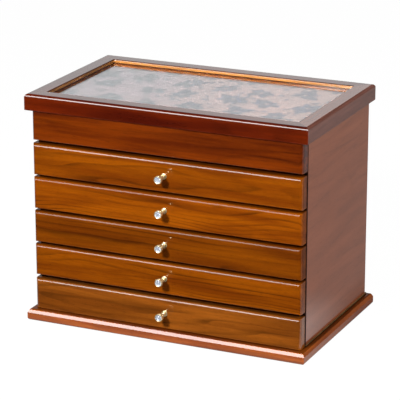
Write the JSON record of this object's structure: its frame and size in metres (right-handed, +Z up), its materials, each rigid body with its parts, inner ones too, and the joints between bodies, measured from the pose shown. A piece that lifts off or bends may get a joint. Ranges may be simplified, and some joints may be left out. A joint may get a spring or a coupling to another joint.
{
  "type": "jewellery box",
  "caption": "Wooden jewellery box with a glazed, mirrored lid over a lined tray, a stack of sliding drawers with small stone-set brass knobs, and a moulded base.",
  "frame": {"origin": "on the surface the box stands on, below the middle of its outline with the knobs", "axes": "+Z up, the drawer fronts face -Y, +X to the right seen from the front"},
  "size_m": [0.345, 0.228, 0.2705],
  "materials": {
    "case_wood": "glossy red-brown stain and lacquer",
    "front_wood": "glossy orange-brown stain and lacquer",
    "lid_wood": "glossy dark red-brown stain and lacquer",
    "base_wood": "glossy brown stain and lacquer",
    "plain_wood": "bare plywood and hardboard",
    "velvet": "dark red velvet",
    "felt": "dark green felt",
    "panel_fabric": "pale woven fabric with a soft leaf pattern",
    "brass": "polished and lacquered",
    "crystal": "clear cut glass",
    "pane": "clear float glass",
    "mirror": "silvered"
  },
  "bodies": {
    "case": {"base_board": "base_wood", "felt_pads": "felt", "floor_board": "plain_wood", "side_panel_left": "case_wood", "side_panel_right": "case_wood", "back_panel": "case_wood", "top_rail": "front_wood", "drawer_shelves": "plain_wood", "tray_floor": "plain_wood", "tray_lining": "velvet", "tray_dividers": "velvet", "ring_rolls": "velvet", "hinge_leaves_case": "brass", "hinge_pins": "brass", "hinge_screws_case": "brass"},
    "lid": {"lid_rail_front": "lid_wood", "lid_rail_back": "lid_wood", "lid_rail_left": "lid_wood", "lid_rail_right": "lid_wood", "lid_mirror": "mirror", "lid_backing": "plain_wood", "lid_fabric": "panel_fabric", "lid_glass": "pane", "hinge_leaves_lid": "brass", "hinge_screws_lid": "brass"},
    "drawer_1": {"drawer_1_front": "front_wood", "drawer_1_sides": "plain_wood", "drawer_1_back": "plain_wood", "drawer_1_bottom": "plain_wood", "drawer_1_lining": "velvet", "drawer_1_knob": "brass", "drawer_1_crystal": "crystal"},
    "drawer_2": {"drawer_2_front": "front_wood", "drawer_2_sides": "plain_wood", "drawer_2_back": "plain_wood", "drawer_2_bottom": "plain_wood", "drawer_2_lining": "velvet", "drawer_2_knob": "brass", "drawer_2_crystal": "crystal"},
    "drawer_3": {"drawer_3_front": "front_wood", "drawer_3_sides": "plain_wood", "drawer_3_back": "plain_wood", "drawer_3_bottom": "plain_wood", "drawer_3_lining": "velvet", "drawer_3_knob": "brass", "drawer_3_crystal": "crystal"},
    "drawer_4": {"drawer_4_front": "front_wood", "drawer_4_sides": "plain_wood", "drawer_4_back": "plain_wood", "drawer_4_bottom": "plain_wood", "drawer_4_lining": "velvet", "drawer_4_knob": "brass", "drawer_4_crystal": "crystal"},
    "drawer_5": {"drawer_5_front": "front_wood", "drawer_5_sides": "plain_wood", "drawer_5_back": "plain_wood", "drawer_5_bottom": "plain_wood", "drawer_5_lining": "velvet", "drawer_5_knob": "brass", "drawer_5_crystal": "crystal"}
  },
  "joints": [
    {"name": "lid_hinge", "type": "hinge", "parent": "case", "child": "lid", "pos_m": [0, 0.10858, 0.25135], "axis": [-1, 0, 0], "range_deg": [0, 95]},
    {"name": "drawer_1_slide", "type": "slide", "parent": "case", "child": "drawer_1", "axis": [0, -1, 0], "range_m": [0, 0.14]},
    {"name": "drawer_2_slide", "type": "slide", "parent": "case", "child": "drawer_2", "axis": [0, -1, 0], "range_m": [0, 0.14]},
    {"name": "drawer_3_slide", "type": "slide", "parent": "case", "child": "drawer_3", "axis": [0, -1, 0], "range_m": [0, 0.14]},
    {"name": "drawer_4_slide", "type": "slide", "parent": "case", "child": "drawer_4", "axis": [0, -1, 0], "range_m": [0, 0.14]},
    {"name": "drawer_5_slide", "type": "slide", "parent": "case", "child": "drawer_5", "axis": [0, -1, 0], "range_m": [0, 0.14]}
  ]
}
